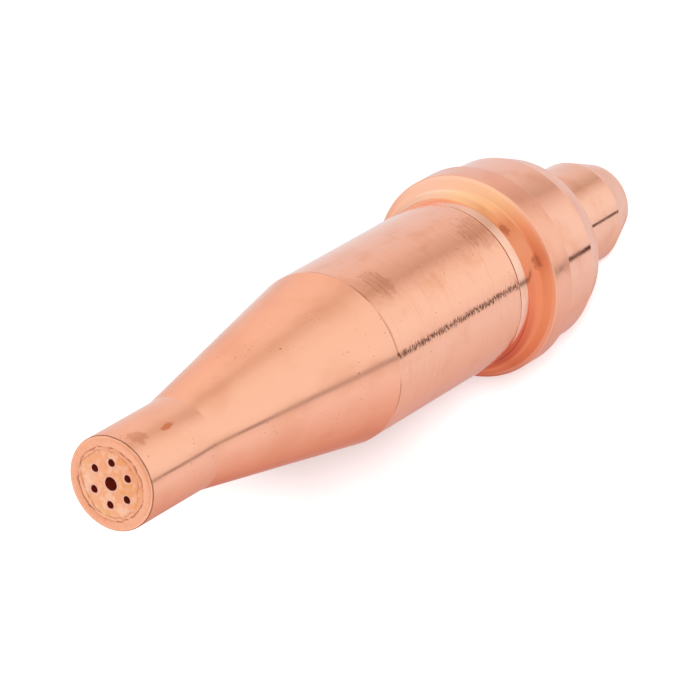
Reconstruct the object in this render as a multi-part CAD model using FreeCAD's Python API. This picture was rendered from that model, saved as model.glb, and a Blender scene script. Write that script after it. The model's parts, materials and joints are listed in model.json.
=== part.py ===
import FreeCAD, Part
import math
import os

# Oxy-fuel cutting tip, one piece of copper, in millimetres.
# The bar is turned to its outer form and drilled from the seat end. The flame end is then swaged
# down over wires, so the cone draws the drilled passages together into small orifices.
# Z is the tip's axis. The tip stands on its seat end at Z = 0, with the flame face at the top.

# Lengths along the axis, from the flame face to the seat end
NOSE_LENGTH = 9.6
CONE_LENGTH = 21.7
BODY_LENGTH = 19.4
GROOVE_WIDTH = 0.2
LAND_LENGTH = 1.1
FLARE_LENGTH = 2.15
COLLAR_LENGTH = 2.65
BAND_LENGTH = 4.6
REAR_SEAT_LENGTH = 2.2
SPIGOT_LENGTH = 9.0
END_SEAT_LENGTH = 3.6

# Gas passages
PREHEAT_COUNT = 6
OXYGEN_BORE_DIAMETER = 3.5
OXYGEN_OUTLET_DIAMETER = 1.18
PREHEAT_BORE_DIAMETER = 1.5
PREHEAT_OUTLET_DIAMETER = 0.66
PREHEAT_OUTLET_RING_DIAMETER = 3.82
OUTLET_EDGE_BREAK = 0.07
OXYGEN_MOUTH_CHAMFER = 0.3

# Diameters, steps and walls, worked outwards from the spigot and the preheat passages
SPIGOT_DIAMETER = 9.78
INLET_LEDGE = 0.46
BODY_WALL = 1.09
NOSE_WALL = 1.98
LAND_RELIEF = 0.07
GROOVE_DEPTH = 0.12
COLLAR_STEP = 1.585
BAND_STEP = 0.93
RECESS_MARGIN = 0.45
RECESS_DEPTH = 1.6
SEAT_HALF_ANGLE = 20.0

# The flare in front of the collar: a hollow that starts level with the land, then a plain cone
HOLLOW_RISE_SHARE = 0.6
HOLLOW_RUN_SHARE = 0.74

# Rounds left by the swage, and edges broken by the turning tool
FACE_ROUND = 0.3
NOSE_ROUND = 1.2
RIM_CHAMFER = 0.12
SEAT_CHAMFER = 0.1

OVERCUT = 1.0
SHORTEST_EDGE = 1e-6
ROUND = "round"
CHAMFER = "chamfer"

# Radii that follow from the values above
oxygen_bore_radius = OXYGEN_BORE_DIAMETER / 2
oxygen_outlet_radius = OXYGEN_OUTLET_DIAMETER / 2
preheat_bore_radius = PREHEAT_BORE_DIAMETER / 2
preheat_outlet_radius = PREHEAT_OUTLET_DIAMETER / 2
outlet_ring_radius = PREHEAT_OUTLET_RING_DIAMETER / 2
spigot_radius = SPIGOT_DIAMETER / 2
inlet_ring_radius = spigot_radius + INLET_LEDGE + preheat_bore_radius
recess_radius = inlet_ring_radius + preheat_bore_radius + RECESS_MARGIN
body_radius = inlet_ring_radius + preheat_bore_radius + BODY_WALL
land_radius = body_radius - LAND_RELIEF
groove_radius = land_radius - GROOVE_DEPTH
collar_radius = body_radius + COLLAR_STEP
band_radius = body_radius + BAND_STEP
nose_radius = outlet_ring_radius + preheat_outlet_radius + NOSE_WALL
seat_slope = math.tan(math.radians(SEAT_HALF_ANGLE))
rear_seat_end_radius = band_radius - REAR_SEAT_LENGTH * seat_slope
spigot_end_radius = spigot_radius - END_SEAT_LENGTH * seat_slope

# Heights above the seat end
spigot_z = END_SEAT_LENGTH
rear_z = spigot_z + SPIGOT_LENGTH
recess_z = rear_z + RECESS_DEPTH
band_z = rear_z + REAR_SEAT_LENGTH
collar_z = band_z + BAND_LENGTH
flare_z = collar_z + COLLAR_LENGTH
land_z = flare_z + FLARE_LENGTH
groove_z = land_z + LAND_LENGTH
body_z = groove_z + GROOVE_WIDTH
shoulder_z = body_z + BODY_LENGTH
nose_z = shoulder_z + CONE_LENGTH
flame_z = nose_z + NOSE_LENGTH


def point(radius, height):
    """A point of the outline, in the XZ plane."""
    return FreeCAD.Vector(radius, 0, height)


def outline(corners):
    """A closed face through (radius, height) corners. A corner may add ROUND or CHAMFER and its size."""
    points = [point(corner[0], corner[1]) for corner in corners]
    entries = []
    exits = []
    finishes = []
    for i, (radius, height, *finish) in enumerate(corners):
        kind, size = finish or (None, 0)
        arriving = (points[i] - points[i - 1]).normalize()
        leaving = (points[(i + 1) % len(points)] - points[i]).normalize()
        half_turn = arriving.getAngle(leaving) / 2
        reach = size * math.tan(half_turn) if kind == ROUND else size
        entry = points[i] - arriving * reach
        exit = points[i] + leaving * reach
        entries.append(entry)
        exits.append(exit)
        if kind == ROUND:
            inwards = (leaving - arriving).normalize()
            middle = points[i] + inwards * (size / math.cos(half_turn) - size)
            finishes.append(Part.Arc(entry, middle, exit))
        elif kind == CHAMFER:
            finishes.append(Part.LineSegment(entry, exit))
        else:
            finishes.append(None)
    edges = []
    for i, finish in enumerate(finishes):
        if finish:
            edges.append(finish.toShape())
        next_entry = entries[(i + 1) % len(points)]
        if exits[i].distanceToPoint(next_entry) > SHORTEST_EDGE:
            edges.append(Part.LineSegment(exits[i], next_entry).toShape())
    return Part.Face(Part.Wire(edges))


def turned(corners):
    """The solid that a lathe would leave: the outline turned once round the tip's axis."""
    return outline(corners).revolve(FreeCAD.Vector(0, 0, 0), FreeCAD.Vector(0, 0, 1), 360)


def seat_end():
    """Spigot with the inner conical seat, the ring-shaped recess, and the outer conical seat."""
    return [
        (0, 0),
        (spigot_end_radius, 0, CHAMFER, SEAT_CHAMFER),
        (spigot_radius, spigot_z),
        (spigot_radius, recess_z),
        (recess_radius, recess_z),
        (recess_radius, rear_z, CHAMFER, SEAT_CHAMFER),
        (rear_seat_end_radius, rear_z, CHAMFER, SEAT_CHAMFER),
        (band_radius, band_z),
        (band_radius, collar_z),
    ]


def collar():
    """Collar with its flared front: the retaining nut pulls on this flare."""
    rise = HOLLOW_RISE_SHARE * (collar_radius - land_radius)
    run = HOLLOW_RUN_SHARE * FLARE_LENGTH
    half_turn = math.atan2(rise, run)
    hollow_radius = run / math.sin(2 * half_turn)
    corner_z = land_z - hollow_radius * math.tan(half_turn)
    return [
        (collar_radius, collar_z, CHAMFER, RIM_CHAMFER),
        (collar_radius, flare_z, CHAMFER, RIM_CHAMFER),
        (land_radius + rise, land_z - run),
        (land_radius, corner_z, ROUND, hollow_radius),
    ]


def body_and_nose():
    """Land, thin groove, cylindrical body, swaged cone and nose, up to the flat flame face."""
    return [
        (land_radius, groove_z),
        (groove_radius, groove_z),
        (groove_radius, body_z),
        (body_radius, body_z),
        (body_radius, shoulder_z),
        (nose_radius, nose_z, ROUND, NOSE_ROUND),
        (nose_radius, flame_z, ROUND, FACE_ROUND),
        (0, flame_z),
    ]


def oxygen_passage():
    """Central passage: drilled from the seat end, drawn down under the cone to the cutting orifice."""
    mouth = oxygen_bore_radius + OXYGEN_MOUTH_CHAMFER + OVERCUT
    flame_mouth = oxygen_outlet_radius + OUTLET_EDGE_BREAK + OVERCUT
    return turned([
        (0, -OVERCUT),
        (mouth, -OVERCUT),
        (oxygen_bore_radius, OXYGEN_MOUTH_CHAMFER),
        (oxygen_bore_radius, shoulder_z),
        (oxygen_outlet_radius, nose_z),
        (oxygen_outlet_radius, flame_z - OUTLET_EDGE_BREAK),
        (flame_mouth, flame_z + OVERCUT),
        (0, flame_z + OVERCUT),
    ])


def preheat_passage(angle):
    """One preheat passage: straight through the body, converging under the cone, straight in the nose."""
    flame_mouth = preheat_outlet_radius + OUTLET_EDGE_BREAK + OVERCUT
    stations = [
        (inlet_ring_radius, recess_z - OVERCUT, preheat_bore_radius),
        (inlet_ring_radius, shoulder_z, preheat_bore_radius),
        (outlet_ring_radius, nose_z, preheat_outlet_radius),
        (outlet_ring_radius, flame_z - OUTLET_EDGE_BREAK, preheat_outlet_radius),
        (outlet_ring_radius, flame_z + OVERCUT, flame_mouth),
    ]
    rings = []
    for ring_radius, height, passage_radius in stations:
        centre = FreeCAD.Vector(
            ring_radius * math.cos(angle),
            ring_radius * math.sin(angle),
            height,
        )
        rings.append(Part.Wire(Part.makeCircle(passage_radius, centre)))
    return Part.makeLoft(rings, True, True)


def cutting_tip():
    """The whole tip, one solid with its seven passages."""
    blank = turned(seat_end() + collar() + body_and_nose())
    passages = [oxygen_passage()]
    for i in range(PREHEAT_COUNT):
        passages.append(preheat_passage(2 * math.pi * i / PREHEAT_COUNT))
    return blank.cut(passages)


tip = cutting_tip()
os.makedirs("parts", exist_ok=True)
tip.exportStep("parts/cutting_tip.step")
print("solids", len(tip.Solids), "valid", tip.isValid(), "volume mm3", round(tip.Volume, 2))
print("overall length", round(flame_z, 3), "body diameter", round(2 * body_radius, 3))
print("collar diameter", round(2 * collar_radius, 3), "nose diameter", round(2 * nose_radius, 3))
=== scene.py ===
# %% [markdown]
# An oxy-fuel cutting tip in copper
# A cutting tip is one piece of copper, about as long as a finger. It is turned and drilled from bar,
# and its flame end is then swaged: hammered down over wires, so that the cone draws seven gas passages
# together into seven small orifices. This lesson draws the tip's outline, lets Geometry Nodes turn it
# and drill it, and then spends most of its cells on the copper itself. A bare metal part has no colour
# of its own to hide behind. What we see is mostly the room, mirrored in a surface that keeps the marks
# of each tool that touched it.

import json
import math

import bmesh
import bpy
from mathutils import Matrix, Vector


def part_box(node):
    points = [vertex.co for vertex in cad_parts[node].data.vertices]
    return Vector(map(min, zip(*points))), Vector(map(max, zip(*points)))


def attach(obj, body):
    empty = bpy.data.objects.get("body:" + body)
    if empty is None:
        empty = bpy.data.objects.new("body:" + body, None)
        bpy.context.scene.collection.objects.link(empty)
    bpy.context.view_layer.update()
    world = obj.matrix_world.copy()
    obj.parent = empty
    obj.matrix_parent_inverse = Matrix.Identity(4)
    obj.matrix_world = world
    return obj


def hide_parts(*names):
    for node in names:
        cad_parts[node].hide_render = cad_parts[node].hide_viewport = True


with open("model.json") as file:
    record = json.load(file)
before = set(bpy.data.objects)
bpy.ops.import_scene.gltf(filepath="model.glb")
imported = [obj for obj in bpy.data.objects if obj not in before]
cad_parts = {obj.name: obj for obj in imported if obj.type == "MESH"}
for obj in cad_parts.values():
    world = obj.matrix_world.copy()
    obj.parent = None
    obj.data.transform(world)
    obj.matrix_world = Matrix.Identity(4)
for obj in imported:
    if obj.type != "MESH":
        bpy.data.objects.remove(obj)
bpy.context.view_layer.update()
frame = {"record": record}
scene = bpy.context.scene
scene.view_settings.view_transform = "Standard"
tip_low, tip_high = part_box("cutting_tip")
mounts = {mount["name"]: mount for mount in frame["record"]["mounts"]}
print("tip height in mm", round(1000 * tip_high.z, 2))

# %% [markdown]
# The camera comes first
# Everything later is judged through it. The tip stands on its seat end, but the picture shows it lying
# across the frame. Both are the same view: the camera looks down at about 50 degrees and is rolled
# about its own line of sight. Its place is worked out backwards, from the pixel where the middle of the
# flame face belongs and from how far away that face is.

# %% Camera
IMAGE_PIXELS = 700
SENSOR_MM = 36.0
LENS_MM = 282.857
CAMERA_AZIMUTH = math.radians(-19.70)
CAMERA_ELEVATION = math.radians(49.92)
CAMERA_ROLL = math.radians(-120.33)
FACE_PIXEL = (110.3, 484.35)
FACE_DISTANCE = 0.451

flame_face = Vector((0, 0, tip_high.z))
level_right = Vector((math.cos(CAMERA_AZIMUTH), math.sin(CAMERA_AZIMUTH), 0))
back = Vector((
    math.sin(CAMERA_AZIMUTH) * math.cos(CAMERA_ELEVATION),
    -math.cos(CAMERA_AZIMUTH) * math.cos(CAMERA_ELEVATION),
    math.sin(CAMERA_ELEVATION),
))
level_up = back.cross(level_right)
right = math.cos(CAMERA_ROLL) * level_right + math.sin(CAMERA_ROLL) * level_up
up = back.cross(right)
pixel_size = FACE_DISTANCE * SENSOR_MM / (LENS_MM * IMAGE_PIXELS)
across = (FACE_PIXEL[0] - IMAGE_PIXELS / 2) * pixel_size
down = (FACE_PIXEL[1] - IMAGE_PIXELS / 2) * pixel_size

camera_data = bpy.data.cameras.new("camera")
camera_data.lens = LENS_MM
camera_data.sensor_width = SENSOR_MM
camera_data.clip_start = 0.01
camera = bpy.data.objects.new("camera", camera_data)
scene.collection.objects.link(camera)
camera.matrix_world = Matrix((right, up, back)).transposed().to_4x4()
camera.location = flame_face - right * across + up * down + back * FACE_DISTANCE
scene.camera = camera
print("camera at", [round(value, 4) for value in camera.location])

# %% [markdown]
# Two helpers for every node tree
# Node trees are easy to read when one function adds a node, sets it and links it in the same breath.
# Its inputs can be plain values, sockets or whole nodes, and a node then gives its first output.
# Colours are written as sRGB hex values, as a painter would pick them, and one function turns them
# into the linear numbers that a renderer works in.

# %% Helpers for nodes and colours
MM = 0.001
MATH = "ShaderNodeMath"
VECTOR = "ShaderNodeVectorMath"
RANGE = "ShaderNodeMapRange"
SMOOTH = {"interpolation_type": "SMOOTHSTEP"}


def add(tree, kind, inputs=None, **settings):
    """Add a node to a tree. Inputs are values, sockets or nodes, and settings are its own properties."""
    node = tree.nodes.new(kind)
    for name, value in settings.items():
        setattr(node, name, value)
    for key, value in (inputs or {}).items():
        if isinstance(value, bpy.types.Node):
            value = value.outputs[0]
        if isinstance(value, bpy.types.NodeSocket):
            tree.links.new(value, node.inputs[key])
        else:
            node.inputs[key].default_value = value
    return node


def linear(hex_colour):
    """An sRGB hex colour as linear red, green, blue and alpha."""
    channels = [int(hex_colour[i:i + 2], 16) / 255 for i in (1, 3, 5)]
    return [c / 12.92 if c <= 0.04045 else ((c + 0.055) / 1.055) ** 2.4 for c in channels] + [1.0]


print("mid grey in linear light", round(linear("#808080")[0], 3))

# %% [markdown]
# The outline, as the lathe hand reads it
# A turned part is fully told by half its section. These are the tip's lengths, radii and edges in
# millimetres, from the seat end upwards. The spigot, body and oxygen bore are read from the part's own
# mounts, so the dressed tip can't drift away from the part that it stands for.

# %% Sizes of the tip
BODY_RADIUS = mounts["nut_body"]["dims"]["r_mm"]
SPIGOT_RADIUS = mounts["head_spigot"]["dims"]["r_mm"]
OXYGEN_RADIUS = mounts["oxygen_inlet"]["dims"]["r_mm"]

NOSE_LENGTH = 9.6
CONE_LENGTH = 21.7
BODY_LENGTH = 19.4
GROOVE_WIDTH = 0.2
LAND_LENGTH = 1.1
FLARE_LENGTH = 2.15
COLLAR_LENGTH = 2.65
BAND_LENGTH = 4.6
REAR_SEAT_LENGTH = 2.2
SPIGOT_LENGTH = 9.0
END_SEAT_LENGTH = 3.6
RECESS_DEPTH = 1.6

LAND_RELIEF = 0.07
GROOVE_DEPTH = 0.12
COLLAR_STEP = 1.585
BAND_STEP = 0.93
INLET_LEDGE = 0.46
NOSE_RADIUS = 4.22
RECESS_RADIUS = 7.3
SEAT_HALF_ANGLE = 20.0

OXYGEN_OUTLET_RADIUS = 0.59
OXYGEN_MOUTH_CHAMFER = 0.3
PREHEAT_COUNT = 6
PREHEAT_RADIUS = 0.75
PREHEAT_OUTLET_RADIUS = 0.33
OUTLET_RING_RADIUS = 1.91
OUTLET_EDGE_BREAK = 0.07

land_radius = BODY_RADIUS - LAND_RELIEF
groove_radius = land_radius - GROOVE_DEPTH
collar_radius = BODY_RADIUS + COLLAR_STEP
band_radius = BODY_RADIUS + BAND_STEP
inlet_ring_radius = SPIGOT_RADIUS + INLET_LEDGE + PREHEAT_RADIUS
seat_slope = math.tan(math.radians(SEAT_HALF_ANGLE))
spigot_end_radius = SPIGOT_RADIUS - END_SEAT_LENGTH * seat_slope
rear_seat_end_radius = band_radius - REAR_SEAT_LENGTH * seat_slope

spigot_z = END_SEAT_LENGTH
rear_z = spigot_z + SPIGOT_LENGTH
recess_z = rear_z + RECESS_DEPTH
band_z = rear_z + REAR_SEAT_LENGTH
collar_z = band_z + BAND_LENGTH
flare_z = collar_z + COLLAR_LENGTH
land_z = flare_z + FLARE_LENGTH
groove_z = land_z + LAND_LENGTH
body_z = groove_z + GROOVE_WIDTH
shoulder_z = body_z + BODY_LENGTH
nose_z = shoulder_z + CONE_LENGTH
flame_z = nose_z + NOSE_LENGTH
print("flame face at", round(flame_z, 3), "mm, against", round(1000 * tip_high.z, 3), "in the part")

# %% [markdown]
# Corners become edges that catch light
# No real corner is perfectly sharp. Where the tool or the polishing cloth left a small round, that round
# is what draws the thin bright line along a rim. The outline is written as corners, each with the size
# of its round, and a short function replaces each corner by an arc that touches both its sides. The
# hollow of the flare is drawn the same way: it is the one large round, between the land and the rim.

# %% Drawing the outline
DEGREES_PER_STEP = 9
FEWEST_STEPS = 3
EDGE_ROUND = 0.06
BODY_EDGE_ROUND = 0.03
RIM_ROUND = 0.14
SHOULDER_ROUND = 0.12
FACE_ROUND = 0.3
NOSE_ROUND = 1.2
END_SEAT_ROUND = 0.5
BAND_ROUND = 0.3
HOLLOW_RISE_SHARE = 0.6
HOLLOW_RUN_SHARE = 0.74
CREASE_RADIUS = 3.27
CREASE_WIDTH = 0.1
CREASE_DEPTH = 0.03


def rounded(corners):
    """The points of a line through (radius, height, round) corners, each round drawn as a short arc."""
    points = []
    count = len(corners)
    for i, (radius, height, size) in enumerate(corners):
        corner = Vector((radius, height))
        if not size:
            points.append(corner)
            continue
        before = Vector(corners[i - 1][:2])
        after = Vector(corners[(i + 1) % count][:2])
        arriving = (corner - before).normalized()
        leaving = (after - corner).normalized()
        turn = arriving.angle_signed(leaving)
        reach = size * math.tan(abs(turn) / 2)
        steps = max(FEWEST_STEPS, math.ceil(abs(math.degrees(turn)) / DEGREES_PER_STEP))
        inwards = Vector((-arriving.y, arriving.x)) * (-1 if turn > 0 else 1)
        centre = corner - arriving * reach + inwards * size
        spoke = corner - arriving * reach - centre
        for step in range(steps + 1):
            spin = Matrix.Rotation(-turn * step / steps, 2)
            points.append(centre + spin @ spoke)
    return points


hollow_rise = HOLLOW_RISE_SHARE * (collar_radius - land_radius)
hollow_run = HOLLOW_RUN_SHARE * FLARE_LENGTH
hollow_half_turn = math.atan2(hollow_rise, hollow_run)
hollow_radius = hollow_run / math.sin(2 * hollow_half_turn)

outline = rounded([
    (OXYGEN_RADIUS, OXYGEN_MOUTH_CHAMFER, 0),
    (OXYGEN_RADIUS + OXYGEN_MOUTH_CHAMFER, 0, 0),
    (spigot_end_radius, 0, EDGE_ROUND),
    (SPIGOT_RADIUS, spigot_z, END_SEAT_ROUND),
    (SPIGOT_RADIUS, recess_z, 0),
    (RECESS_RADIUS, recess_z, 0),
    (RECESS_RADIUS, rear_z, EDGE_ROUND),
    (rear_seat_end_radius, rear_z, EDGE_ROUND),
    (band_radius, band_z, BAND_ROUND),
    (band_radius, collar_z, 0),
    (collar_radius, collar_z, RIM_ROUND),
    (collar_radius, flare_z, RIM_ROUND),
    (land_radius + hollow_rise, land_z - hollow_run, 0),
    (land_radius, land_z - hollow_radius * math.tan(hollow_half_turn), hollow_radius),
    (land_radius, groove_z, BODY_EDGE_ROUND),
    (groove_radius, groove_z, 0),
    (groove_radius, body_z, 0),
    (BODY_RADIUS, body_z, BODY_EDGE_ROUND),
    (BODY_RADIUS, shoulder_z, SHOULDER_ROUND),
    (NOSE_RADIUS, nose_z, NOSE_ROUND),
    (NOSE_RADIUS, flame_z, FACE_ROUND),
    (CREASE_RADIUS + CREASE_WIDTH, flame_z, 0),
    (CREASE_RADIUS, flame_z - CREASE_DEPTH, 0),
    (CREASE_RADIUS - CREASE_WIDTH, flame_z, 0),
    (OXYGEN_OUTLET_RADIUS + OUTLET_EDGE_BREAK, flame_z, 0),
    (OXYGEN_OUTLET_RADIUS, flame_z - OUTLET_EDGE_BREAK, 0),
    (OXYGEN_OUTLET_RADIUS, nose_z, 0),
    (OXYGEN_RADIUS, shoulder_z, 0),
])
print("outline has", len(outline), "points")

# %% [markdown]
# One drawing, two kinds of line
# The drawing that feeds the node tree holds the closed outline, and the centre line of one preheat
# passage beside it. Each point of that centre line carries the passage's bore there, as an attribute.
# The tree uses the attribute twice: to tell the two lines apart, and to know how thick to drill.

# %% The drawing as a mesh of loose edges
OVERCUT = 1.0
passage = [
    (inlet_ring_radius, recess_z - OVERCUT, PREHEAT_RADIUS),
    (inlet_ring_radius, shoulder_z, PREHEAT_RADIUS),
    (OUTLET_RING_RADIUS, nose_z, PREHEAT_OUTLET_RADIUS),
    (OUTLET_RING_RADIUS, flame_z - OUTLET_EDGE_BREAK, PREHEAT_OUTLET_RADIUS),
    (OUTLET_RING_RADIUS, flame_z + OVERCUT, PREHEAT_OUTLET_RADIUS + OUTLET_EDGE_BREAK + OVERCUT),
]
TURNING_RADIUS = BODY_RADIUS
corner_count = len(outline)
vertices = [((p.x - TURNING_RADIUS) * MM, -p.y * MM, 0) for p in reversed(outline)]
vertices += [(radius * MM, 0, height * MM) for radius, height, _ in passage]
edges = [(i, (i + 1) % corner_count) for i in range(corner_count)]
edges += [(corner_count + i, corner_count + i + 1) for i in range(len(passage) - 1)]
drawing = bpy.data.meshes.new("tip_drawing")
drawing.from_pydata(vertices, edges, [])
bores = drawing.attributes.new("bore", "FLOAT", "POINT")
bores.data.foreach_set("value", [0.0] * corner_count + [bore * MM for _, _, bore in passage])
print("drawing has", len(drawing.vertices), "points and", len(drawing.edges), "edges")

# %% [markdown]
# Six kinds of finish on one piece of metal
# Each tool leaves its own skin on the same copper, so the tip has a material for each: drilled
# passages, turned seats and collar, a polished flare, a brushed body, the swaged cone and nose, and the
# trimmed flame face. They all start from one function, because they are one metal. Copper needs only
# two things to be right: its warm base colour, and a Metallic of 1, which keeps the default IOR.

# %% What every copper finish starts from
COPPER = "#FDBFA0"


def bare_copper(name, colour=COPPER, roughness=0.15):
    """A copper material, as (material, its tree, its shader, place in millimetres)."""
    material = bpy.data.materials.new(name)
    material.use_nodes = True
    tree = material.node_tree
    shader = tree.nodes["Principled BSDF"]
    shader.inputs["Metallic"].default_value = 1.0
    shader.inputs["Base Color"].default_value = linear(colour)
    shader.inputs["Roughness"].default_value = roughness
    place = add(tree, "ShaderNodeTexCoord").outputs["Object"]
    place_mm = add(tree, VECTOR, {0: place, "Scale": 1 / MM}, operation="SCALE")
    return material, tree, shader, place_mm


print("plain copper is", COPPER)

# %% [markdown]
# Patterns that know the tip's axis
# A turned part's marks lie round its axis or along it, so its patterns do too: noise with one size round
# the tip and another along it, colours that change with the angle round the axis, and ragged stains at
# a given angle and height. Masks are 1 where a mark is and 0 elsewhere. Colours are then painted over
# each other through the masks, the way an artist glazes.

# %% Patterns and masks
# The camera's side of the tip, as an angle round the axis from +X
FRONT = CAMERA_AZIMUTH - math.pi / 2
# A noise with a mean of a half frays a stain's edge between these two distances, in its own sizes
STAIN_FRAY = 1.6
STAIN_EDGE = (1.9, 1.3)


def grain(tree, place_mm, width_mm, height_mm, detail=2.0, offset=0.0):
    """Noise whose blotches are width_mm long round the tip and height_mm along it."""
    scale = (1 / width_mm, 1 / width_mm, 1 / height_mm)
    stretched = add(tree, VECTOR, {0: place_mm, 1: scale, 2: (offset, offset, offset)},
                    operation="MULTIPLY_ADD")
    return add(tree, "ShaderNodeTexNoise", {"Vector": stretched, "Scale": 1.0, "Detail": detail})


def shaken(tree, value, noise, swing):
    """A value that a noise moves up and down, by half the swing each way."""
    centred = add(tree, MATH, {0: noise, 1: 0.5}, operation="SUBTRACT")
    return add(tree, MATH, {0: centred, 1: swing, 2: value}, operation="MULTIPLY_ADD")


def near(tree, value, level, reach, core=0.0):
    """1 where a value is within core of a level, falling smoothly to 0 at reach from it."""
    off = add(tree, MATH, {0: value, 1: level}, operation="SUBTRACT")
    off = add(tree, MATH, {0: off}, operation="ABSOLUTE")
    return add(tree, RANGE, {0: off, 1: reach, 2: core}, **SMOOTH)


def painted(tree, colour, where, new_colour, strength=1.0):
    """A colour with another painted over it through a mask. Each is a hex value, numbers or an output."""
    share = add(tree, MATH, {0: where, 1: strength}, operation="MULTIPLY")
    under, over = [linear(c) if isinstance(c, str) else c for c in (colour, new_colour)]
    return add(tree, "ShaderNodeMix", {0: share, 6: under, 7: over}, data_type="RGBA").outputs[2]


def off_axis(tree, place):
    """Distance from the tip's axis."""
    level = add(tree, VECTOR, {0: place, 1: (1, 1, 0)}, operation="MULTIPLY")
    return add(tree, VECTOR, {0: level}, operation="LENGTH").outputs["Value"]


def round_axis_ramp(tree, forth, aside, stops):
    """A colour by the angle round the axis, through (degrees, hex colour) stops from -180 to 180."""
    angle = add(tree, MATH, {0: aside, 1: forth}, operation="ARCTAN2")
    share_of_turn = add(tree, MATH, {0: angle, 1: 0.5 / math.pi, 2: 0.5}, operation="MULTIPLY_ADD")
    ramp = add(tree, "ShaderNodeValToRGB", {0: share_of_turn})
    elements = ramp.color_ramp.elements
    elements[0].position = 0.0
    elements[0].color = linear(stops[0][1])
    elements[1].position = 1.0
    elements[1].color = linear(stops[-1][1])
    for degrees, colour in stops[1:-1]:
        elements.new((degrees + 180) / 360).color = linear(colour)
    return ramp


def stain(tree, place_mm, degrees, height_mm, radius_mm, size):
    """1 inside a ragged spot, at degrees round from the camera's side. Its size is round and along."""
    angle = FRONT - math.radians(degrees)
    centre = (radius_mm * math.cos(angle), radius_mm * math.sin(angle), height_mm)
    scale = (1 / size[0], 1 / size[0], 1 / size[1])
    off = add(tree, VECTOR, {0: place_mm, 1: centre}, operation="SUBTRACT")
    off = add(tree, VECTOR, {0: off, 1: scale}, operation="MULTIPLY")
    length = add(tree, VECTOR, {0: off}, operation="LENGTH").outputs["Value"]
    fray = grain(tree, place_mm, 0.5, 0.5, detail=3.0)
    frayed = add(tree, MATH, {0: fray, 1: STAIN_FRAY, 2: length}, operation="MULTIPLY_ADD")
    return add(tree, RANGE, {0: frayed, 1: STAIN_EDGE[0], 2: STAIN_EDGE[1]}, **SMOOTH)


print("the camera looks from", round(math.degrees(FRONT), 1), "degrees round the axis")

# %% [markdown]
# Brushing marks that bend a reflection sideways
# The body was spun and rubbed with abrasive cloth, so its scratches run round it. In the photo they
# show best where they cross a dark reflection: its edge frays into bristles. A bump map can't do that,
# because its slopes lie across the scratches, and only slopes along them move the reflection sideways.
# So each row of scratches tips the normal a little round the axis, by an amount read from a noise that
# is drawn out round the tip and very fine along it.

# %% Relief
# Bundles of scratches and the hairs between them: length round the tip, and share in the tilt
BUNDLE_MM = 0.8
HAIR_MM = 0.6
HAIRS_PER_BUNDLE = 2.5
HAIR_SHARE = 1.4


def tipped_normal(tree, tilt):
    """The surface normal, tipped round the tip's axis by tilt, in radians."""
    normal = add(tree, "ShaderNodeNewGeometry").outputs["Normal"]
    sideways = add(tree, VECTOR, {0: (0.0, 0.0, 1.0), 1: normal}, operation="CROSS_PRODUCT")
    sideways = add(tree, VECTOR, {0: sideways}, operation="NORMALIZE")
    step = add(tree, VECTOR, {0: sideways, "Scale": tilt}, operation="SCALE")
    tipped = add(tree, VECTOR, {0: normal, 1: step}, operation="ADD")
    return add(tree, VECTOR, {0: tipped}, operation="NORMALIZE")


def brushing(tree, place_mm, row_mm, strength):
    """A tilt that changes from one row of scratches to the next, and slowly along each scratch."""
    bundles = grain(tree, place_mm, BUNDLE_MM, row_mm, detail=1.0)
    hairs = grain(tree, place_mm, HAIR_MM, row_mm / HAIRS_PER_BUNDLE, detail=0.0, offset=7.3)
    both = add(tree, MATH, {0: hairs, 1: HAIR_SHARE, 2: bundles}, operation="MULTIPLY_ADD")
    centred = add(tree, MATH, {0: both, 1: (1 + HAIR_SHARE) / 2}, operation="SUBTRACT")
    return add(tree, MATH, {0: centred, 1: strength}, operation="MULTIPLY")


def dress(tree, shader, colour, height, height_mm, tilt=None, roughness=None):
    """Gives a shader its colour and relief, and a tilt and a roughness where they are given."""
    relief = {"Height": height, "Distance": height_mm * MM, "Strength": 1.0}
    if tilt is not None:
        relief["Normal"] = tipped_normal(tree, tilt)
    bump = add(tree, "ShaderNodeBump", relief)
    tree.links.new(colour, shader.inputs["Base Color"])
    tree.links.new(bump.outputs[0], shader.inputs["Normal"])
    if roughness is not None:
        tree.links.new(roughness.outputs[0], shader.inputs["Roughness"])


print("each bundle of scratches has about", HAIRS_PER_BUNDLE, "hairs")

# %% [markdown]
# Specks, pits and short scratches
# Handling leaves marks with two very different shapes. Pits are points, so they come from a Voronoi
# pattern: the middle of a cell, where a second noise lets only some cells have one. Scratches are
# lines, so they come from a noise that is stretched thin and cut off just under its peaks.

# %% Pits and scratches
PIT_FLOOR = 0.4
PIT_PATCH_MM = 3.5
SCRATCH_FADE = 0.04


def pits(tree, place_mm, spacing_mm, radius_mm, share):
    """1 inside small pits about spacing_mm apart, in the share of places where a noise allows them."""
    cells = add(tree, "ShaderNodeTexVoronoi", {"Vector": place_mm, "Scale": 1 / spacing_mm})
    orifice_highlight = radius_mm / spacing_mm
    pit = add(tree, RANGE, {0: cells.outputs["Distance"], 1: orifice_highlight, 2: PIT_FLOOR * orifice_highlight}, **SMOOTH)
    where = grain(tree, place_mm, PIT_PATCH_MM, PIT_PATCH_MM, offset=3.1)
    allowed = add(tree, RANGE, {0: where, 1: 0.62 - 0.3 * share, 2: 0.7 - 0.3 * share}, **SMOOTH)
    return add(tree, MATH, {0: pit, 1: allowed}, operation="MULTIPLY")


def scratches(tree, place_mm, turn, length_mm, width_mm, cut):
    """1 along thin scratches that lie at an angle to the axis."""
    turned = add(tree, "ShaderNodeMapping", {"Vector": place_mm, "Rotation": turn})
    lines = grain(tree, turned, length_mm, width_mm, detail=0.0, offset=1.7)
    return add(tree, RANGE, {0: lines, 1: cut, 2: cut + SCRATCH_FADE}, **SMOOTH)


print("pits come in patches of about", PIT_PATCH_MM, "mm")
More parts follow.
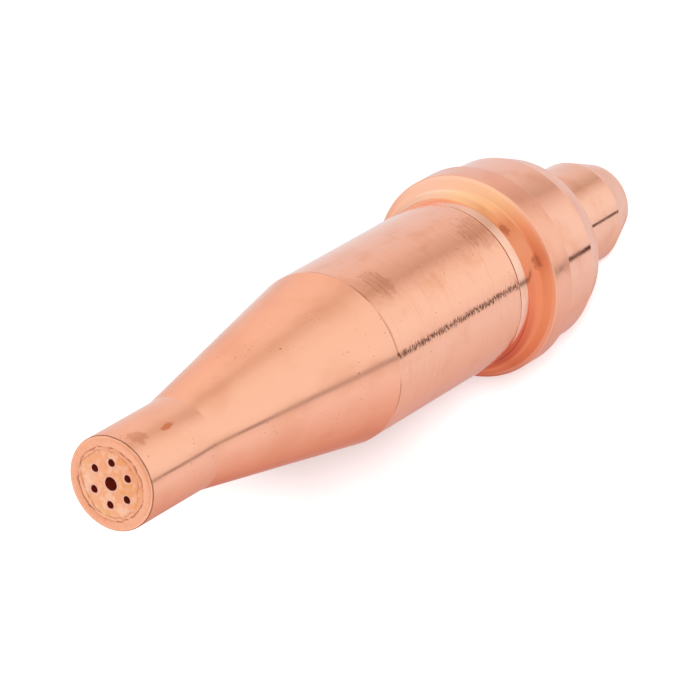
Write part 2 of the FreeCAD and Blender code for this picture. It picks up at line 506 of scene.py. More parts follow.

# %% [markdown]
# The swaged cone and nose
# The swaging dies press this skin smooth without cutting it. It mirrors the room softly, with a slow
# unevenness like hammered sheet, warmer blotches where the dies slid, and pits and specks where
# scale was pressed in. Two larger stains sit near the nose, and a thin wavy dark line is painted on
# the face's rounded edge, as a painted reflection.

# %% Swaged copper
# Stains: degrees round from the camera's side, height, radius there, and size round and along
SPECK_CLUSTER = (-32.5, 50.8, 6.86, (0.9, 1.4))
SCALE_MARK = (-25, 70.9, NOSE_RADIUS, (0.3, 1.0))
NOSE_SMUDGE = (-31, 74.4, NOSE_RADIUS, (1.0, 1.1))
SPECK_COLOUR = "#9A5136"
EDGE_REFLECTION_DEPTH = 0.19
SWAGED_TILT = 0.035


def swaged_copper():
    """Skin pressed by dies: soft, uneven, pitted, with a painted dark reflection on the face's edge."""
    material, tree, shader, place = bare_copper("swaged_copper")
    cloud = grain(tree, place, 3.2, 5.0, detail=4.0)
    warm = add(tree, RANGE, {0: cloud, 1: 0.45, 2: 0.72}, **SMOOTH)
    colour = painted(tree, COPPER, warm, "#F8B796")

    specks = pits(tree, place, spacing_mm=0.45, radius_mm=0.07, share=0.28)
    few_pits = pits(tree, place, spacing_mm=2.3, radius_mm=0.13, share=0.7)
    dense_pits = pits(tree, place, spacing_mm=0.3, radius_mm=0.07, share=2.0)
    cluster = stain(tree, place, *SPECK_CLUSTER)
    cluster = add(tree, MATH, {0: dense_pits, 1: cluster}, operation="MULTIPLY")
    dark = add(tree, MATH, {0: specks, 1: cluster}, operation="MAXIMUM")
    dark = add(tree, MATH, {0: dark, 1: few_pits}, operation="MAXIMUM")
    colour = painted(tree, colour, dark, SPECK_COLOUR, 0.75)

    rub = scratches(tree, place, turn=(0.5, 0.3, 0.9), length_mm=1.6, width_mm=0.09, cut=0.83)
    colour = painted(tree, colour, rub, "#FFD6BF", 0.5)
    colour = painted(tree, colour, stain(tree, place, *SCALE_MARK), "#DD7A4C", 0.75)
    colour = painted(tree, colour, stain(tree, place, *NOSE_SMUDGE), "#C98462", 0.45)

    height = add(tree, "ShaderNodeSeparateXYZ", {0: place}).outputs["Z"]
    # Painted reflection: a thin wavy dark line on the rounded edge of the face
    wavy = shaken(tree, height, grain(tree, place, 0.8, 0.8), 0.12)
    edge_reflection = near(tree, wavy, flame_z - EDGE_REFLECTION_DEPTH, 0.1, 0.02)
    colour = painted(tree, colour, edge_reflection, "#7E4630", 0.8)

    uneven = shaken(tree, 0.0, grain(tree, place, 2.6, 6.0, detail=3.0), SWAGED_TILT)
    unpitted = add(tree, MATH, {0: 1.0, 1: dark}, operation="SUBTRACT")
    roughness = add(tree, RANGE, {0: cloud, 1: 0.3, 2: 0.7, 3: 0.13, 4: 0.2}, **SMOOTH)
    dress(tree, shader, colour, unpitted, 0.012, uneven, roughness)
    return material


print("speck cluster at height", SPECK_CLUSTER[1], "mm")

# %% [markdown]
# The brushed body
# The body was finished with abrasive cloth while it spun. Bundles of scratches lie about an eighth of a
# millimetre apart, which is one pixel of the picture and coarser than the real cloth's grit. Finer
# hairs lie between them, and each row tips the normal by a few degrees at most. Where the body ends at
# the cone, the cloth left a thin dark edge, and two darker patches are painted into the mirrored dark
# band on the side that we see, as painted reflection.

# %% Brushed copper
ROW_MM = 0.13
BRUSHED_TILT = 0.09
# Painted reflection: darker patches where the dark band is mirrored, at degrees round from the camera's
# side, height, radius, and size round and along
LOW_BAND_REFLECTION = (-22, 27.0, BODY_RADIUS, (2.2, 2.0))
HIGH_BAND_REFLECTION = (-24, 42.0, BODY_RADIUS, (2.0, 1.6))
WORN_EDGE_FROM = 0.35
WORN_EDGE_FULL = 0.05


def brushed_copper():
    """Rows of scratches round the body, which fray what it mirrors."""
    material, tree, shader, place = bare_copper("brushed_copper")
    cloud = grain(tree, place, 2.5, 4.0, detail=4.0, offset=2.2)
    warm = add(tree, RANGE, {0: cloud, 1: 0.5, 2: 0.75}, **SMOOTH)
    colour = painted(tree, "#FEC1A3", warm, "#F6B492")
    fibres = grain(tree, place, 3.0, ROW_MM, offset=5.0)
    deep_fibres = add(tree, RANGE, {0: fibres, 1: 0.58, 2: 0.78}, **SMOOTH)
    colour = painted(tree, colour, deep_fibres, "#E9A27F", 0.5)
    specks = pits(tree, place, spacing_mm=1.1, radius_mm=0.09, share=0.6)
    colour = painted(tree, colour, specks, SPECK_COLOUR, 0.6)

    height = add(tree, "ShaderNodeSeparateXYZ", {0: place}).outputs["Z"]
    at_edge = add(tree, RANGE, {0: height, 1: shoulder_z - WORN_EDGE_FROM,
                                2: shoulder_z - WORN_EDGE_FULL}, **SMOOTH)
    patchy = grain(tree, place, 3.0, 0.4, detail=3.0, offset=6.0)
    worn = add(tree, RANGE, {0: patchy, 1: 0.42, 2: 0.6}, **SMOOTH)
    worn_edge = add(tree, MATH, {0: at_edge, 1: worn}, operation="MULTIPLY")
    colour = painted(tree, colour, worn_edge, "#B06A48", 0.6)

    # Painted reflection: two darker patches in the mirrored dark band, broken up by the fibres
    low_band_reflection = stain(tree, place, *LOW_BAND_REFLECTION)
    high_band_reflection = stain(tree, place, *HIGH_BAND_REFLECTION)
    painted_band_reflection = add(tree, MATH, {0: low_band_reflection, 1: high_band_reflection}, operation="MAXIMUM")
    in_fibres = add(tree, RANGE, {0: fibres, 1: 0.35, 2: 0.65, 3: 0.15, 4: 0.6}, **SMOOTH)
    painted_band_reflection = add(tree, MATH, {0: painted_band_reflection, 1: in_fibres}, operation="MULTIPLY")
    colour = painted(tree, colour, painted_band_reflection, "#CC8C6A")

    roughness = add(tree, RANGE, {0: fibres, 1: 0.3, 2: 0.7, 3: 0.07, 4: 0.13}, **SMOOTH)
    tilt = brushing(tree, place, ROW_MM, BRUSHED_TILT)
    dress(tree, shader, colour, fibres, 0.004, tilt, roughness)
    return material


print("a row of brushing is", ROW_MM, "mm wide")

# %% [markdown]
# Turned seats, spigot and collar
# These faces have to seal gas or fit a nut, so they are cut with a sharp tool and left bright. One
# function makes them all. They differ in how fine the cut is, which shows as how crisply they mirror.

# %% Turned copper
FEED_MM = 0.16
TURNED_TILT = 0.012


def turned_copper(name, colour, roughness):
    """A bright turned face, with faint tool rings and a few nicks."""
    material, tree, shader, place = bare_copper(name, colour)
    rings = grain(tree, place, 6.0, FEED_MM)
    cloud = grain(tree, place, 3.0, 2.0, detail=3.0, offset=4.0)
    warm = add(tree, RANGE, {0: cloud, 1: 0.45, 2: 0.75}, **SMOOTH)
    tinted = painted(tree, colour, warm, "#F0AA88", 0.5)
    nicks = pits(tree, place, spacing_mm=1.3, radius_mm=0.1, share=0.5)
    tinted = painted(tree, tinted, nicks, SPECK_COLOUR, 0.5)
    uneven = add(tree, RANGE, {0: cloud, 1: 0.3, 2: 0.7, 3: 0.8 * roughness, 4: 1.3 * roughness}, **SMOOTH)
    dress(tree, shader, tinted, rings, 0.0015, brushing(tree, place, FEED_MM, TURNED_TILT), uneven)
    return material


print("the turning tool's rings are", FEED_MM, "mm apart")

# %% [markdown]
# The polished flare
# The hollow in front of the collar is polished, in rings that follow the tool. Its colour is painted by
# the angle round the axis, once for the inner zone and once for the outer one: straw yellow on one side,
# deep orange below, as painted reflection and shade. A fine noise by radius makes the rings.

# %% Polished copper
# Painted reflection and shade, by degrees round the axis from +X
INNER_FLARE_PAINTED_REFLECTION = [
    (-180, "#E6835F"), (-152, "#F08D66"), (-128, "#EC8D67"), (-110, "#EB9770"), (-95, "#E2895F"),
    (-80, "#FDB683"), (-56, "#FFD0A2"), (-32, "#FFDCC2"), (90, "#FBBB96"), (135, "#F0946C"),
    (160, "#DC7656"), (180, "#E6835F"),
]
OUTER_FLARE_PAINTED_REFLECTION = [
    (-180, "#DE7650"), (-152, "#EC8B63"), (-135, "#EC9068"), (-122, "#DE8058"), (-104, "#F39C74"),
    (-80, "#FFC292"), (-32, "#FEC3A6"), (90, "#FAB490"), (135, "#E07C56"), (160, "#CA6443"),
    (180, "#DE7650"),
]
# Distances outwards from the land's radius at which the outer painted reflection begins and is full
OUTER_REFLECTION_ZONE = (0.45, 0.8)
# Distances inwards from the collar's radius at which the painted highlight at the rim begins and is full
PAINTED_RIM_HIGHLIGHT = (0.5, 0.12)
LAND_SPOT = (-14, land_z - 0.45, land_radius + 0.2, (0.9, 0.4))
FLARE_SPOT = (14, land_z - 1.3, land_radius + 0.8, (0.8, 0.35))
RING_MM = 0.16
POLISHED_TILT = 0.05


def polished_copper():
    """The flare: rings, painted reflection and shade, a painted rim highlight and two brown spots."""
    material, tree, shader, place = bare_copper("polished_copper", roughness=0.13)
    parts = add(tree, "ShaderNodeSeparateXYZ", {0: place}).outputs
    rings = grain(tree, place, 12.0, RING_MM, offset=9.0)
    radius = shaken(tree, off_axis(tree, place), rings, 1.2)
    # Painted reflection and shade: the room's light and dark, fixed on the flare by the angle round the
    # axis
    inner_reflection = round_axis_ramp(tree, parts["X"], parts["Y"], INNER_FLARE_PAINTED_REFLECTION)
    outer_reflection = round_axis_ramp(tree, parts["X"], parts["Y"], OUTER_FLARE_PAINTED_REFLECTION)
    outwards = add(tree, RANGE, {0: radius, 1: land_radius + OUTER_REFLECTION_ZONE[0],
                                 2: land_radius + OUTER_REFLECTION_ZONE[1]}, **SMOOTH)
    colour = painted(tree, inner_reflection, outwards, outer_reflection)
    rim_highlight = add(tree, RANGE, {0: radius, 1: collar_radius - PAINTED_RIM_HIGHLIGHT[0],
                               2: collar_radius - PAINTED_RIM_HIGHLIGHT[1]}, **SMOOTH)
    # Painted highlight: a paler band along the rim
    colour = painted(tree, colour, rim_highlight, "#FFEADA", 0.15)
    land_spot = stain(tree, place, *LAND_SPOT)
    flare_spot = stain(tree, place, *FLARE_SPOT)
    spots = add(tree, MATH, {0: land_spot, 1: flare_spot}, operation="MAXIMUM")
    colour = painted(tree, colour, spots, "#A8583C", 0.6)
    dress(tree, shader, colour, rings, 0.012, brushing(tree, place, 0.2, POLISHED_TILT))
    return material


print("flare has", len(INNER_FLARE_PAINTED_REFLECTION) + len(OUTER_FLARE_PAINTED_REFLECTION), "colour stops")

# %% [markdown]
# The flame face
# The face is where swaging ends: the metal has folded against the wires and the face was then trimmed,
# which leaves an uneven double crease. Inside it the copper has oxide tints from straw to orange, and
# each orifice has a pale ring painted round its edge as a highlight. The pattern needs polar
# coordinates. The angle is folded six times, so one painted ring serves all six orifices.

# %% Flame face copper
SECOND_CREASE_RADIUS = CREASE_RADIUS - 0.35
CREASE_REACH = 0.12
CREASE_WANDER = 0.5
SECOND_CREASE_WANDER = 1.0
TINT_FADE = 0.6
# Painted highlight round the orifices: where it fades out and where it is full
ORIFICE_HIGHLIGHT_REACH = 0.22
ORIFICE_HIGHLIGHT_CORE = 0.1


def face_copper():
    """The flame face: a double crease, oxide tints inside it, and a painted highlight round each orifice.
    """
    material, tree, shader, place = bare_copper("flame_face_copper", roughness=0.32)
    parts = add(tree, "ShaderNodeSeparateXYZ", {0: place}).outputs
    radius = off_axis(tree, place)
    angle = add(tree, MATH, {0: parts["Y"], 1: parts["X"]}, operation="ARCTAN2")
    half_step = math.pi / PREHEAT_COUNT
    folded = add(tree, MATH, {0: angle, 1: half_step, 2: -half_step}, operation="WRAP")
    forth = add(tree, MATH, {0: folded}, operation="COSINE")
    aside = add(tree, MATH, {0: folded}, operation="SINE")
    heading = add(tree, "ShaderNodeCombineXYZ", {0: forth, 1: aside})
    folded_place = add(tree, VECTOR, {0: heading, "Scale": radius}, operation="SCALE")
    orifice = (OUTLET_RING_RADIUS, 0.0, 0.0)
    to_orifice = add(tree, VECTOR, {0: folded_place, 1: orifice}, operation="DISTANCE").outputs["Value"]
    from_preheat = add(tree, MATH, {0: to_orifice, 1: PREHEAT_OUTLET_RADIUS}, operation="SUBTRACT")
    from_oxygen = add(tree, MATH, {0: radius, 1: OXYGEN_OUTLET_RADIUS}, operation="SUBTRACT")
    from_edge = add(tree, MATH, {0: from_preheat, 1: from_oxygen}, operation="MINIMUM")

    first = shaken(tree, radius, grain(tree, place, 0.9, 0.9), CREASE_WANDER)
    second = shaken(tree, radius, grain(tree, place, 1.2, 1.2, offset=6.0), SECOND_CREASE_WANDER)
    first_crease = near(tree, first, CREASE_RADIUS, CREASE_REACH)
    second_crease = near(tree, second, SECOND_CREASE_RADIUS, CREASE_REACH)
    second_crease = add(tree, MATH, {0: second_crease, 1: 0.6}, operation="MULTIPLY")
    crease = add(tree, MATH, {0: first_crease, 1: second_crease}, operation="MAXIMUM")
    torn = grain(tree, place, 0.55, 0.55, detail=3.0, offset=4.0)
    unbroken = add(tree, RANGE, {0: torn, 1: 0.38, 2: 0.58, 3: 0.25}, **SMOOTH)
    crease = add(tree, MATH, {0: crease, 1: unbroken}, operation="MULTIPLY")

    inside = add(tree, RANGE, {0: first, 1: CREASE_RADIUS, 2: CREASE_RADIUS - TINT_FADE}, **SMOOTH)
    colour = painted(tree, "#FDBB9A", inside, "#FBB58D")
    patches = grain(tree, place, 0.8, 0.8, offset=2.0)
    patches = add(tree, RANGE, {0: patches, 1: 0.44, 2: 0.62}, **SMOOTH)
    patches = add(tree, MATH, {0: patches, 1: inside}, operation="MULTIPLY")
    colour = painted(tree, colour, patches, "#FFCBAE")
    straw = grain(tree, place, 1.0, 1.0, detail=1.0, offset=8.0)
    straw = add(tree, RANGE, {0: straw, 1: 0.5, 2: 0.7}, **SMOOTH)
    straw = add(tree, MATH, {0: straw, 1: inside}, operation="MULTIPLY")
    colour = painted(tree, colour, straw, "#F6B172", 0.8)
    # Painted highlight: a pale ring round each orifice's edge
    orifice_highlight = add(tree, RANGE, {0: from_edge, 1: ORIFICE_HIGHLIGHT_REACH, 2: ORIFICE_HIGHLIGHT_CORE}, **SMOOTH)
    colour = painted(tree, colour, orifice_highlight, "#F4C4B2", 0.8)
    colour = painted(tree, colour, crease, "#B0683F", 0.75)

    flat = add(tree, MATH, {0: 1.0, 1: crease}, operation="SUBTRACT")
    folds = add(tree, MATH, {0: torn, 1: 1.4, 2: flat}, operation="MULTIPLY_ADD")
    dress(tree, shader, colour, folds, 0.05)
    return material


print("creases at radius", CREASE_RADIUS, "and", round(SECOND_CREASE_RADIUS, 2), "mm")

# %% [markdown]
# Inside the passages
# Nobody polishes a passage. Deep inside one, light turns round many times on copper and little of it
# gets out, so the wall is painted dark red as that shade, and this is the one finish with a low Metallic.
# It scatters what little light gets in, and the holes read as dark maroon and not as black.

# %% Drilled copper
DRILL_RING_MM = 0.12


def drilled_copper():
    """A passage's wall: rough, ringed by the drill, and painted dark red as the shade deep inside."""
    material, tree, shader, place = bare_copper("drilled_copper", roughness=0.5)
    shader.inputs["Metallic"].default_value = 0.2
    rings = grain(tree, place, 2.0, DRILL_RING_MM)
    # Painted shade: dark red for the light lost in many bounces inside the passage
    colour = painted(tree, "#6E1C10", rings, "#862A1A")
    dress(tree, shader, colour, rings, 0.01)
    return material


finishes = {
    "seat": turned_copper("turned_seat_copper", "#F0BBA8", 0.24),
    "spigot": turned_copper("turned_spigot_copper", "#FBC4A9", 0.11),
    "band": turned_copper("turned_band_copper", "#FCC3A9", 0.10),
    "collar": turned_copper("turned_collar_copper", "#F9BA9E", 0.2),
    "flare": polished_copper(),
    "land": turned_copper("turned_land_copper", "#FED0B7", 0.12),
    # Painted shade: the narrow groove's copper is dark brown for the shade inside it
    "groove": turned_copper("turned_groove_copper", "#8E6650", 0.45),
    "body": brushed_copper(),
    "cone": swaged_copper(),
    "face": face_copper(),
    "passage": drilled_copper(),
}
print("finishes:", ", ".join(material.name for material in finishes.values()))

# %% [markdown]
# Which finish goes where
# On a turned part a finish belongs to a stretch of the axis. The list gives the height at which each
# stretch begins. The tree works through it from the seat end upwards, and each step paints over
# everything above its own height, so the last one that still applies wins.

# %% Where each finish begins
BELOW_ALL = -1.0
RECESS_MOUTH = 0.3
HAIR = 0.01

stretches = [
    ("seat", BELOW_ALL),
    ("spigot", spigot_z),
    ("seat", rear_z - RECESS_MOUTH),
    ("band", band_z),
    ("collar", collar_z - HAIR),
    ("flare", flare_z + RIM_ROUND),
    ("land", land_z),
    ("groove", groove_z),
    ("body", body_z - BODY_EDGE_ROUND / 2),
    ("cone", shoulder_z),
    ("face", flame_z - OUTLET_EDGE_BREAK / 2 - HAIR),
]
print([(name, round(height, 2)) for name, height in stretches])

# %% [markdown]
# Turning and drilling with Geometry Nodes
# The tip follows a rule, so a tree can make it: sweep the outline round a circle, sweep a small circle
# along the passage, place six passages round the axis, and cut them out. The machine sizes are the
# tree's named inputs. A change of the count or of the drawing then gives the next size of tip.

# %% The turning tree
COMPARE = "FunctionNodeCompare"
STEPS_ROUND = 256
PASSAGE_STEPS = 48
MACHINE_SIZES = [
    ("Drawing", "NodeSocketGeometry", None),
    ("Turning radius", "NodeSocketFloat", TURNING_RADIUS * MM),
    ("Steps round", "NodeSocketInt", STEPS_ROUND),
    ("Passages", "NodeSocketInt", PREHEAT_COUNT),
    ("Steps round a passage", "NodeSocketInt", PASSAGE_STEPS),
]


def turning_tree():
    """A tree that turns its drawing, gives each stretch its finish and drills the passages."""
    tree = bpy.data.node_groups.new("turned_and_drilled", "GeometryNodeTree")
    tree.is_modifier = True
    for name, kind, value in MACHINE_SIZES:
        socket = tree.interface.new_socket(name, in_out="INPUT", socket_type=kind)
        if value is not None:
            socket.default_value = value
    tree.interface.new_socket("Tip", in_out="OUTPUT", socket_type="NodeSocketGeometry")
    given = tree.nodes.new("NodeGroupInput").outputs

    bore = add(tree, "GeometryNodeInputNamedAttribute", {"Name": "bore"})
    drilled = add(tree, COMPARE, {0: bore, 1: 0.0})
    lines = add(tree, "GeometryNodeSeparateGeometry", {0: given["Drawing"], 1: drilled})
    section = add(tree, "GeometryNodeMeshToCurve", {0: lines.outputs["Inverted"]})
    path = add(tree, "GeometryNodeCurvePrimitiveCircle", {
        "Resolution": given["Steps round"], "Radius": given["Turning radius"]})
    upright = add(tree, "GeometryNodeSetCurveNormal", {0: path}, mode="Z_UP")
    turned = add(tree, "GeometryNodeCurveToMesh", {0: upright, 1: section})

    place = add(tree, "GeometryNodeInputPosition")
    height = add(tree, "ShaderNodeSeparateXYZ", {0: place}).outputs["Z"]
    for name, start in stretches:
        above = add(tree, COMPARE, {0: height, 1: start * MM})
        turned = add(tree, "GeometryNodeSetMaterial", {0: turned, 1: above, 2: finishes[name]})
    bore_mouth = (OXYGEN_RADIUS + OXYGEN_MOUTH_CHAMFER) * MM
    near_axis = add(tree, COMPARE, {0: off_axis(tree, place), 1: bore_mouth}, operation="LESS_THAN")
    outlet_z = (flame_z - OUTLET_EDGE_BREAK) * MM
    behind_outlet = add(tree, COMPARE, {0: height, 1: outlet_z}, operation="LESS_THAN")
    in_bore = add(tree, "FunctionNodeBooleanMath", {0: near_axis, 1: behind_outlet}, operation="AND")
    turned = add(tree, "GeometryNodeSetMaterial", {0: turned, 1: in_bore, 2: finishes["passage"]})

    centre_line = add(tree, "GeometryNodeMeshToCurve", {0: lines.outputs["Selection"]})
    circle = add(tree, "GeometryNodeCurvePrimitiveCircle", {
        "Resolution": given["Steps round a passage"], "Radius": 1.0})
    drill = add(tree, "GeometryNodeCurveToMesh", {
        0: centre_line, 1: circle, "Scale": bore, "Fill Caps": True})
    drill = add(tree, "GeometryNodeSetMaterial", {0: drill, 2: finishes["passage"]})
    at_outlet = add(tree, COMPARE, {0: height, 1: outlet_z})
    drill = add(tree, "GeometryNodeSetMaterial", {0: drill, 1: at_outlet, 2: finishes["face"]})

    index = add(tree, "GeometryNodeInputIndex")
    share = add(tree, MATH, {0: index, 1: given["Passages"]}, operation="DIVIDE")
    angle = add(tree, MATH, {0: share, 1: 2 * math.pi}, operation="MULTIPLY")
    turn = add(tree, "ShaderNodeCombineXYZ", {2: angle})
    stations = add(tree, "GeometryNodeMeshLine", {"Count": given["Passages"], "Offset": (0, 0, 0)})
    drills = add(tree, "GeometryNodeInstanceOnPoints", {
        "Points": stations, "Instance": drill, "Rotation": turn})
    drills = add(tree, "GeometryNodeRealizeInstances", {0: drills})
    cut = add(tree, "GeometryNodeMeshBoolean", {0: turned, 1: drills},
              operation="DIFFERENCE", solver="EXACT")
    whole = add(tree, "GeometryNodeRealizeInstances", {0: cut})
    add(tree, "NodeGroupOutput", {0: whole})
    return tree


tree = turning_tree()
print("turning tree has", len(tree.nodes), "nodes")

# %% [markdown]
# From modifier to plain mesh
# The modifier's result is copied into a mesh of its own, and the modifier goes away with its object.
# A turned part is smooth round its axis and sharp at its corners, so each face is shaded smooth and
# only the edges that really turn are marked sharp.

# %% The tip's mesh
SHARP_ANGLE = math.radians(28)

blank = bpy.data.objects.new("blank", drawing)
scene.collection.objects.link(blank)
modifier = blank.modifiers.new("turned_and_drilled", "NODES")
modifier.node_group = tree
bpy.context.view_layer.update()
evaluated = blank.evaluated_get(bpy.context.evaluated_depsgraph_get())
tip_mesh = bpy.data.meshes.new_from_object(evaluated)
tip_mesh.name = "copper_tip"
bpy.data.objects.remove(blank)
tip_mesh.attributes.remove(tip_mesh.attributes["bore"])
tip_mesh.polygons.foreach_set("use_smooth", [True] * len(tip_mesh.polygons))
tip_mesh.set_sharp_from_angle(angle=SHARP_ANGLE)

solid = bmesh.new()
solid.from_mesh(tip_mesh)
open_edges = sum(1 for edge in solid.edges if len(edge.link_faces) != 2)
print("tip mesh:", len(solid.verts), "points,", len(solid.faces), "faces,", open_edges, "open edges")
print("volume in cubic mm", round(solid.calc_volume(signed=True) / MM ** 3, 1))
print("finishes in use", sorted({tip_mesh.materials[face.material_index].name for face in solid.faces}))
solid.free()

# %% [markdown]
# Handing the tip to the frame
# The dressed tip rides on the part's one body and stands in for its plain solid.

# %% The piece
tip = bpy.data.objects.new("copper_tip", tip_mesh)
scene.collection.objects.link(tip)
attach(tip, "root")
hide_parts("cutting_tip")
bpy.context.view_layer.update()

# %% [markdown]
# A floor that is white and still takes a shadow
# The background has to be pure white, and turning the lamps up would bleach the copper with it. So the
# floor helps itself: for camera rays it adds light of its own to what falls on it, a touch more in red.
# Full light and its own then come to just past white. Where the tip takes the lamp away, a warm shadow
# is left. The floor's own light is weakest under the cone, where the shadow is deepest, and grows
# beyond it, so the shadow fades out. From below, the floor lets the camera see through it to the seat.

# %% Floor
FLOOR_SIZE = 6.0
FLOOR_GAP = 0.01
FOOT_OWN_LIGHT = (0.42, 0.27, 0.26, 1.0)
DEEP_OWN_LIGHT = (0.35, 0.205, 0.19, 1.0)
FADED_OWN_LIGHT = (0.75, 0.65, 0.63, 1.0)
# Distances from the axis, in metres, between which the shadow deepens and then fades out
SHADOW_DEEPENS = (28 * MM, 42 * MM)
SHADOW_FADES = (47 * MM, 64 * MM)

floor_material = bpy.data.materials.new("white_paper")
floor_material.use_nodes = True
floor_tree = floor_material.node_tree
floor_tree.nodes.clear()
paper = add(floor_tree, "ShaderNodeBsdfDiffuse", {"Color": linear("#EFEFEF")})
camera_ray = add(floor_tree, "ShaderNodeLightPath").outputs["Is Camera Ray"]
spot = add(floor_tree, "ShaderNodeTexCoord").outputs["Object"]
to_axis = off_axis(floor_tree, spot)
deepening = add(floor_tree, RANGE, {0: to_axis, 1: SHADOW_DEEPENS[0], 2: SHADOW_DEEPENS[1]}, **SMOOTH)
fading = add(floor_tree, RANGE, {0: to_axis, 1: SHADOW_FADES[0], 2: SHADOW_FADES[1]}, **SMOOTH)
own_colour = painted(floor_tree, FOOT_OWN_LIGHT, deepening, DEEP_OWN_LIGHT)
own_colour = painted(floor_tree, own_colour, fading, FADED_OWN_LIGHT)
own_light = add(floor_tree, "ShaderNodeEmission", {"Color": own_colour, "Strength": camera_ray})
lit_paper = add(floor_tree, "ShaderNodeAddShader", {0: paper, 1: own_light})
underside = add(floor_tree, "ShaderNodeNewGeometry").outputs["Backfacing"]
from_below = add(floor_tree, MATH, {0: camera_ray, 1: underside}, operation="MULTIPLY")
clear = add(floor_tree, "ShaderNodeBsdfTransparent")
shown = add(floor_tree, "ShaderNodeMixShader", {0: from_below, 1: lit_paper, 2: clear})
add(floor_tree, "ShaderNodeOutputMaterial", {"Surface": shown})

half = FLOOR_SIZE / 2
floor_mesh = bpy.data.meshes.new("floor")
floor_mesh.from_pydata([(-half, -half, 0), (half, -half, 0), (half, half, 0), (-half, half, 0)],
                       [], [(0, 1, 2, 3)])
floor_mesh.materials.append(floor_material)
floor = bpy.data.objects.new("floor", floor_mesh)
floor.location.z = -FLOOR_GAP * MM
floor.visible_glossy = False
scene.collection.objects.link(floor)
print("floor", FLOOR_SIZE, "m square")

# %% [markdown]
# One soft lamp, almost behind the camera
# A lamp beside the lens throws the shadow behind the object, where it can't be seen. Moved a little to
# one side, it lets a narrow soft edge of shadow look out along the other side. It is kept out
# of the reflections, because the room below does that work.

# %% Lamp
LAMP_STRENGTH = 2.4
LAMP_SIDE_STEP = 0.039
LAMP_SPREAD = math.radians(6)

towards_camera = Vector((camera.location.x, camera.location.y, 0)).normalized()
lower_side = Vector((towards_camera.y, -towards_camera.x, 0))
lamp_data = bpy.data.lights.new("soft_lamp", "SUN")
lamp_data.energy = LAMP_STRENGTH
lamp_data.angle = LAMP_SPREAD
lamp = bpy.data.objects.new("soft_lamp", lamp_data)
scene.collection.objects.link(lamp)
lamp.rotation_mode = "QUATERNION"
lamp.rotation_quaternion = (back - LAMP_SIDE_STEP * lower_side).to_track_quat("Z", "Y")
lamp.visible_glossy = False
print("lamp leans", round(math.degrees(math.atan(LAMP_SIDE_STEP)), 1), "degrees off the lens")

# %% [markdown]
# The room that the copper mirrors
# Polished metal has no shading of its own. Its bright and dark stretches are the room, so the room is
# designed like a product photographer's white tent: white all round, one soft grey screen, a
# thin dark slit where table and tent meet, and a warm, darker side below. A world shader can hold all
# of it as a function of direction: one angle round the tip's axis, and one away from straight down.
# Only reflections see it. The camera sees plain white, and matt surfaces get a weaker white, because the
# lamp gives them the rest.

# %% Room
# What the straight walls mirror, by degrees round the axis from the camera's side
LOW_ROOM = [
    (-180, "#F0EFF3"), (-100, "#F0EBF0"), (-78, "#F0E5E3"), (-42, "#D3C2B8"), (-30, "#EBDEDA"),
    (-14, "#FCF9F6"), (0, "#FFFFFF"), (22, "#FFFFFF"), (40, "#F6F2F5"), (66, "#F4F1F5"),
    (114, "#E7D0CA"), (165, "#D6AAA4"), (180, "#F2EFEF"),
]
# What the cone mirrors, which leans 10 degrees and so looks further up the tent
HIGH_ROOM = [
    (-180, "#E8DCD8"), (-142, "#EFDBD4"), (-121, "#F9E2D7"), (-89, "#FEEFE7"), (-70, "#F8ECE5"),
    (-56, "#E8D8CF"), (-46, "#EFE4DC"), (-36, "#FAF4F0"), (-20, "#FFFDFB"), (22, "#FFFFFF"),
    (47, "#F7EFF1"), (58, "#FAF2F6"), (121, "#E1B6A7"), (142, "#D49B8C"), (162, "#C88C7F"),
    (180, "#E8DCD8"),
]
# Degrees from straight down between which one part of the room gives way to the next
TABLE_TO_LOW = (22, 32)
LOW_TO_HIGH = (41, 47)
HIGH_TO_ROOF = (76, 104)
ROOF_TO_MIDDLE = (125, 160)
TABLE = "#F8EEEA"
ROOF = "#FFFFFF"
ROOF_MIDDLE = "#EFD6C6"
# The slit lies at an angle round the axis that drifts with the height at which it is seen
SLIT_ANGLE = 44.5
SLIT_ANGLE_AT = 40
SLIT_DRIFT = -0.3
SLIT_HALF_WIDTH = 4.2
SLIT_CORE = 0.3 * SLIT_HALF_WIDTH
SLIT_COLOUR = "#4E3226"
SLIT_SHARE_HIGH = 0.65
LIGHTING_STRENGTH = 0.38

world = bpy.data.worlds.new("white_tent")
scene.world = world
world.use_nodes = True
room = world.node_tree
room.nodes.clear()
direction = add(room, "ShaderNodeTexCoord").outputs["Generated"]
forth = add(room, VECTOR, {0: direction, 1: towards_camera}, operation="DOT_PRODUCT").outputs["Value"]
aside = add(room, VECTOR, {0: direction, 1: lower_side}, operation="DOT_PRODUCT").outputs["Value"]
downwards = add(room, VECTOR, {0: direction, 1: (0, 0, -1)}, operation="DOT_PRODUCT").outputs["Value"]
from_down = add(room, MATH, {0: downwards}, operation="ARCCOSINE")
from_down = add(room, MATH, {0: from_down}, operation="DEGREES")
round_axis = add(room, MATH, {0: aside, 1: forth}, operation="ARCTAN2")
round_axis = add(room, MATH, {0: round_axis}, operation="DEGREES")

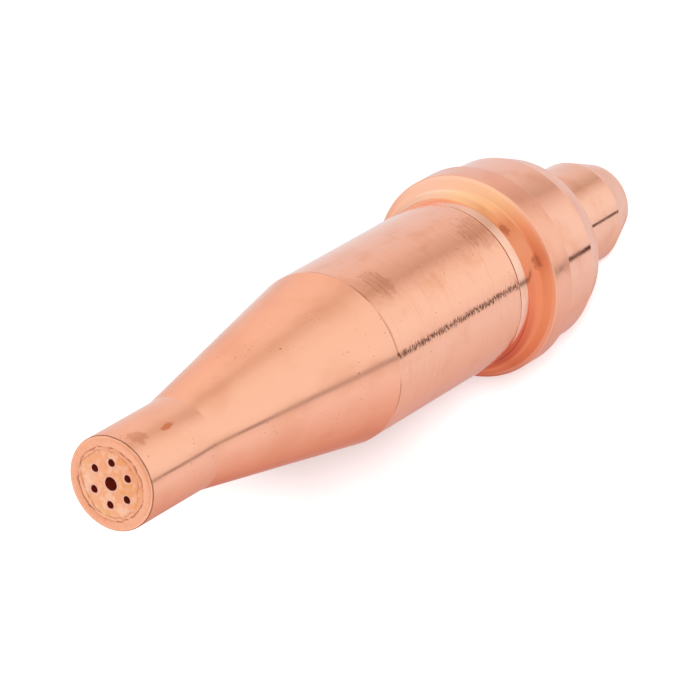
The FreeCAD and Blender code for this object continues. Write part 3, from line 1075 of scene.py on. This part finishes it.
low_walls = round_axis_ramp(room, forth, aside, LOW_ROOM)
high_walls = round_axis_ramp(room, forth, aside, HIGH_ROOM)
higher = add(room, RANGE, {0: from_down, 1: LOW_TO_HIGH[0], 2: LOW_TO_HIGH[1]}, **SMOOTH)
walls = painted(room, low_walls, higher, high_walls)
slit_start = SLIT_ANGLE - SLIT_ANGLE_AT * SLIT_DRIFT
slit_middle = add(room, MATH, {0: from_down, 1: SLIT_DRIFT, 2: slit_start}, operation="MULTIPLY_ADD")
slit = near(room, round_axis, slit_middle, SLIT_HALF_WIDTH, SLIT_CORE)
slit_share = add(room, RANGE, {0: from_down, 1: LOW_TO_HIGH[0], 2: LOW_TO_HIGH[1],
                               3: 1.0, 4: SLIT_SHARE_HIGH}, **SMOOTH)
slit = add(room, MATH, {0: slit, 1: slit_share}, operation="MULTIPLY")
walls = painted(room, walls, slit, SLIT_COLOUR)
overhead = add(room, RANGE, {0: from_down, 1: ROOF_TO_MIDDLE[0], 2: ROOF_TO_MIDDLE[1]}, **SMOOTH)
roof = painted(room, ROOF, overhead, ROOF_MIDDLE)
above = add(room, RANGE, {0: from_down, 1: HIGH_TO_ROOF[0], 2: HIGH_TO_ROOF[1]}, **SMOOTH)
tent = painted(room, walls, above, roof)
below = add(room, RANGE, {0: from_down, 1: TABLE_TO_LOW[1], 2: TABLE_TO_LOW[0]}, **SMOOTH)
tent = painted(room, tent, below, TABLE)

ray = add(room, "ShaderNodeLightPath").outputs
mirrored = add(room, MATH, {0: ray["Is Glossy Ray"], 1: ray["Is Transmission Ray"]}, operation="MAXIMUM")
seen = painted(room, "#FFFFFF", mirrored, tent)
full = add(room, MATH, {0: ray["Is Camera Ray"], 1: mirrored}, operation="MAXIMUM")
strength = add(room, MATH, {0: full, 1: 1 - LIGHTING_STRENGTH, 2: LIGHTING_STRENGTH},
               operation="MULTIPLY_ADD")
background = add(room, "ShaderNodeBackground", {"Color": seen, "Strength": strength})
add(room, "ShaderNodeOutputWorld", {"Surface": background})
print("room has", len(LOW_ROOM) + len(HIGH_ROOM), "colour stops")
